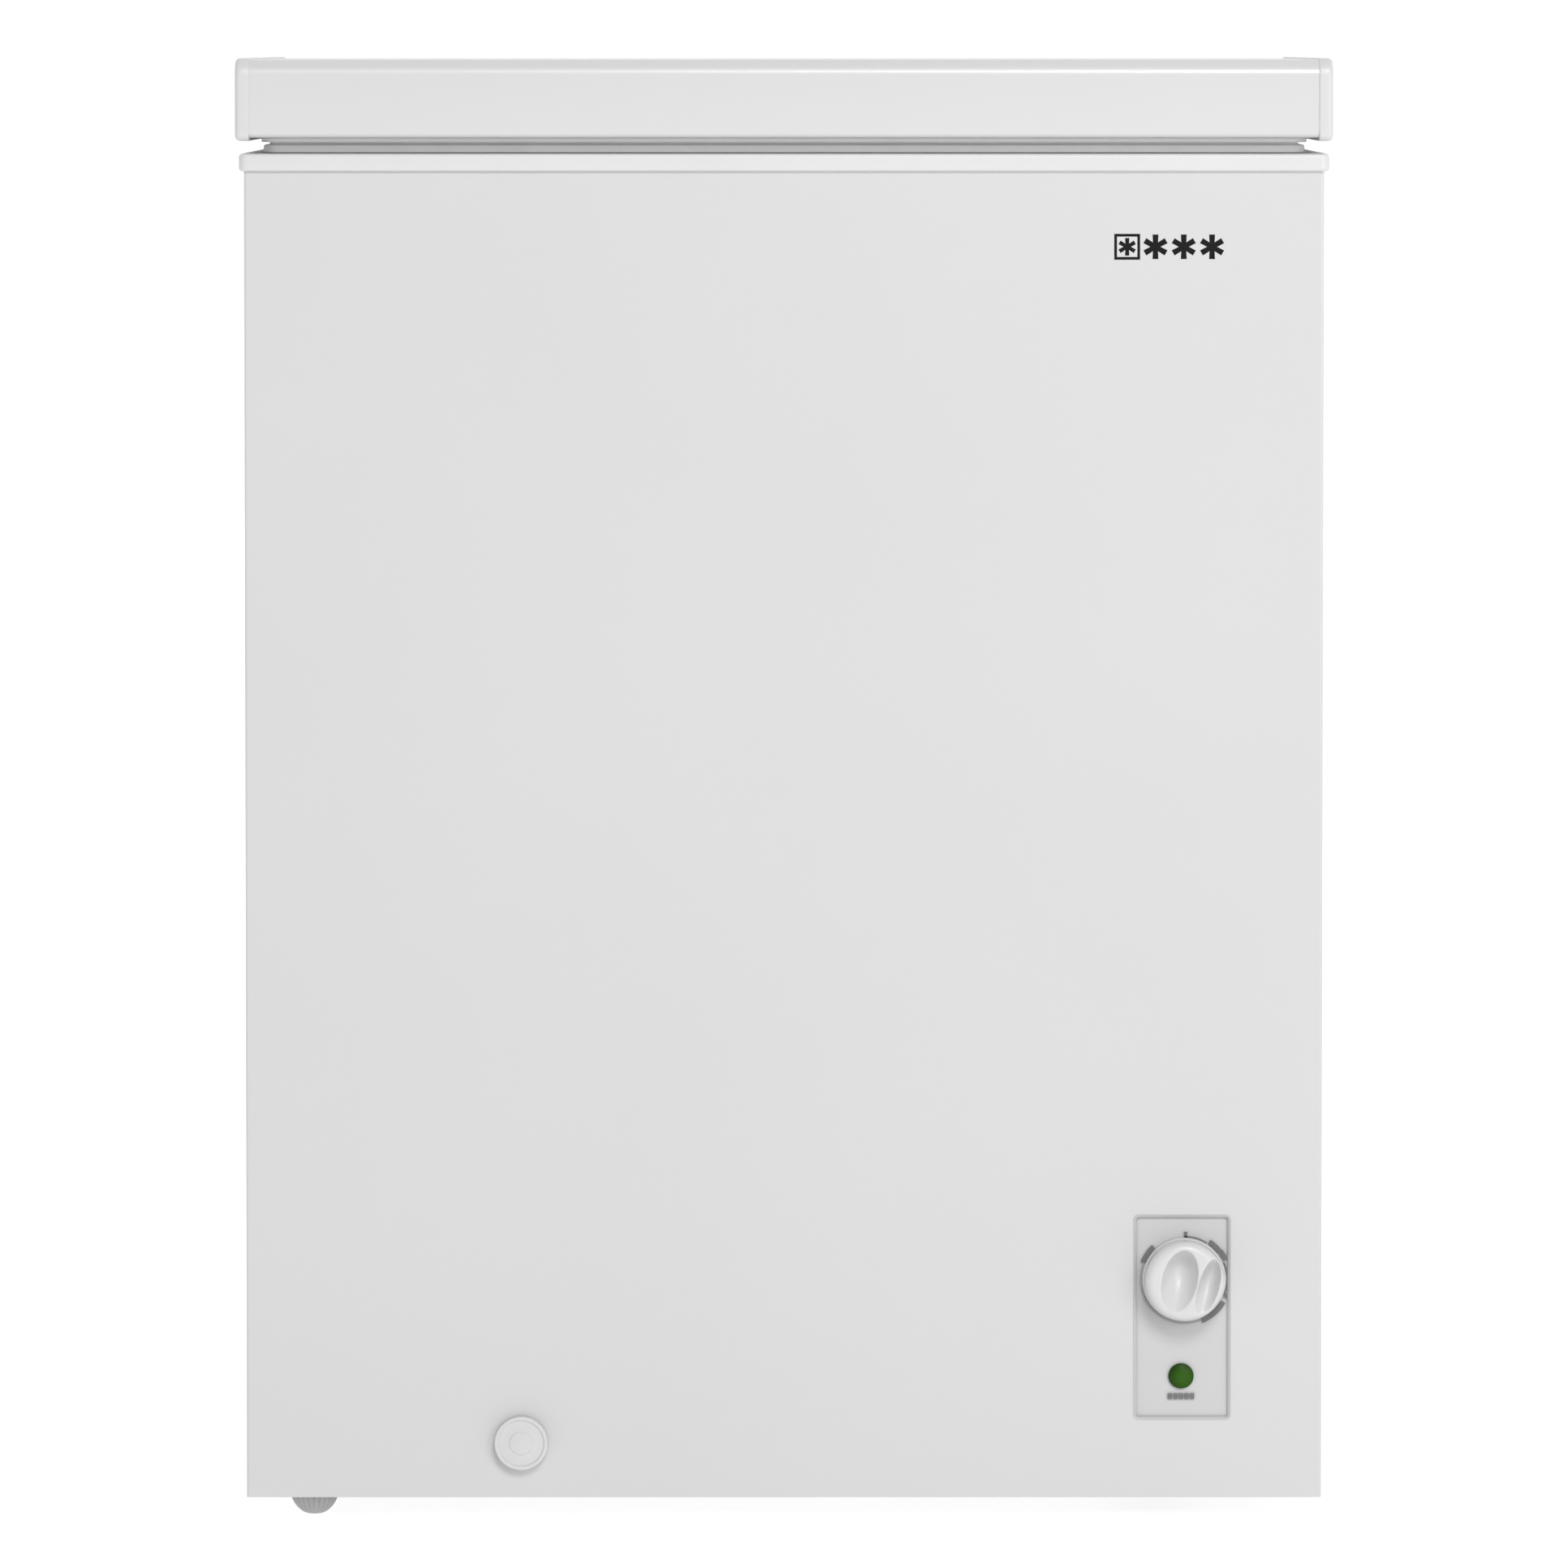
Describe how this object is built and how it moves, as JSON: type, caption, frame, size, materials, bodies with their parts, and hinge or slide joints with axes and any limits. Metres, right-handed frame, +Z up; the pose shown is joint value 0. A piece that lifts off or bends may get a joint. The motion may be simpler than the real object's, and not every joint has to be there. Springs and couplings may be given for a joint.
{
  "type": "chest freezer",
  "caption": "Small white chest freezer with a sprung hinged lid, dial thermostat, drain cap, levelling feet and a hanging wire basket.",
  "frame": {"origin": "on the floor, under the middle of the whole machine's box", "axes": "+X to the right seen from the front, +Y to the back, +Z up; the controls face -Y"},
  "size_m": [0.636, 0.571, 0.85],
  "materials": {
    "painted_steel": "white gloss enamel with a fine orange peel",
    "lid_steel": "white gloss enamel",
    "galvanised": "zinc plated",
    "liner_aluminium": "stucco embossed",
    "white_plastic": "satin moulded",
    "grey_plastic": "satin moulded",
    "black_plastic": "matt moulded",
    "gasket_vinyl": "soft vinyl",
    "foam": "rigid polyurethane foam",
    "compressor_black": "black semi-gloss enamel",
    "copper": "drawn copper",
    "rubber": "matt rubber",
    "green_lens": "tinted clear plastic",
    "lamp_glass": "clear glass",
    "screw_steel": "zinc plated",
    "basket_wire": "white vinyl coated steel wire",
    "wire_insulation": "vinyl insulation",
    "spring_steel": "oiled spring steel",
    "drain_tube_plastic": "translucent white plastic"
  },
  "bodies": {
    "cabinet": {"outer_shell": "painted_steel", "rear_panel": "galvanised", "base_plate": "galvanised", "bay_panel": "galvanised", "inner_liner": "liner_aluminium", "foam_body": "foam", "top_collar": "white_plastic", "evaporator_coil": "copper", "condenser_coil": "copper", "foot_nuts": "screw_steel", "compressor_tray": "galvanised", "compressor_shell": "compressor_black", "compressor_base": "compressor_black", "compressor_grommets": "rubber", "compressor_bolts": "screw_steel", "relay_cover": "black_plastic", "start_relay": "black_plastic", "filter_drier": "copper", "discharge_line": "copper", "suction_line": "copper", "process_tube": "copper", "capillary_tube": "copper", "rear_grille": "black_plastic", "grille_screws": "screw_steel", "cable_gland": "black_plastic", "wiring_harness": "wire_insulation", "control_panel": "grey_plastic", "thermostat": "black_plastic", "thermostat_capillary": "copper", "indicator_lens": "green_lens", "indicator_lamp": "lamp_glass", "drain_tube": "drain_tube_plastic", "hinge_base_left": "galvanised", "hinge_base_right": "galvanised", "hinge_pin_left": "screw_steel", "hinge_pin_right": "screw_steel", "hinge_spring_left": "spring_steel", "hinge_spring_right": "spring_steel", "hinge_base_screws": "screw_steel"},
    "lid": {"lid_outer_panel": "lid_steel", "lid_end_cap_left": "white_plastic", "lid_end_cap_right": "white_plastic", "lid_inner_panel": "white_plastic", "lid_foam": "foam", "lid_gasket": "gasket_vinyl", "hinge_arm_left": "galvanised", "hinge_arm_right": "galvanised", "hinge_lid_screws": "screw_steel"},
    "plunger_left": {"hinge_plunger_left": "black_plastic"},
    "plunger_right": {"hinge_plunger_right": "black_plastic"},
    "knob": {"knob": "white_plastic"},
    "drain_cap": {"drain_cap": "white_plastic"},
    "drain_plug": {"drain_plug": "white_plastic"},
    "basket": {"basket_rim": "basket_wire", "basket_long_wires": "basket_wire", "basket_cross_wires": "basket_wire"},
    "foot_front_left": {"foot_front_left": "grey_plastic"},
    "foot_front_right": {"foot_front_right": "grey_plastic"},
    "foot_rear_left": {"foot_rear_left": "grey_plastic"},
    "foot_rear_right": {"foot_rear_right": "grey_plastic"}
  },
  "joints": [
    {"name": "lid_hinge", "type": "hinge", "parent": "cabinet", "child": "lid", "pos_m": [0, 0.2715, 0.815], "axis": [-1, 0, 0], "range_deg": [0, 80], "stiffness_Nm_per_rad": 3.2, "springref_deg": 100.27},
    {"name": "plunger_left_slide", "type": "slide", "parent": "cabinet", "child": "plunger_left", "axis": [0, 0, 1], "range_m": [0, 0.0085], "deforming": ["hinge_spring_left"]},
    {"name": "plunger_right_slide", "type": "slide", "parent": "cabinet", "child": "plunger_right", "axis": [0, 0, 1], "range_m": [0, 0.0085], "deforming": ["hinge_spring_right"]},
    {"name": "knob_turn", "type": "hinge", "parent": "cabinet", "child": "knob", "pos_m": [0.2329, -0.27, 0.14], "axis": [0, 1, 0], "range_deg": [-70, 142]},
    {"name": "drain_cap_pull", "type": "slide", "parent": "cabinet", "child": "drain_cap", "axis": [0, -1, 0], "range_m": [0, 0.04]},
    {"name": "drain_plug_lift", "type": "slide", "parent": "cabinet", "child": "drain_plug", "axis": [0, 0, 1], "range_m": [0, 0.04]},
    {"name": "basket_slide", "type": "slide", "parent": "cabinet", "child": "basket", "axis": [-1, 0, 0], "range_m": [0, 0.28]},
    {"name": "foot_front_left_turn", "type": "hinge", "parent": "cabinet", "child": "foot_front_left", "pos_m": [-0.2745, -0.24, 0.02], "axis": [0, 0, 1], "continuous": true},
    {"name": "foot_front_right_turn", "type": "hinge", "parent": "cabinet", "child": "foot_front_right", "pos_m": [0.2745, -0.15, 0.02], "axis": [0, 0, 1], "continuous": true},
    {"name": "foot_rear_left_turn", "type": "hinge", "parent": "cabinet", "child": "foot_rear_left", "pos_m": [-0.2745, 0.23, 0.02], "axis": [0, 0, 1], "continuous": true},
    {"name": "foot_rear_right_turn", "type": "hinge", "parent": "cabinet", "child": "foot_rear_right", "pos_m": [0.2745, 0.23, 0.02], "axis": [0, 0, 1], "continuous": true}
  ],
  "couplings": [
    {"joint": "plunger_left_slide", "follows": "lid_hinge", "m_per_rad": 0.006},
    {"joint": "plunger_right_slide", "follows": "lid_hinge", "m_per_rad": 0.006}
  ]
}
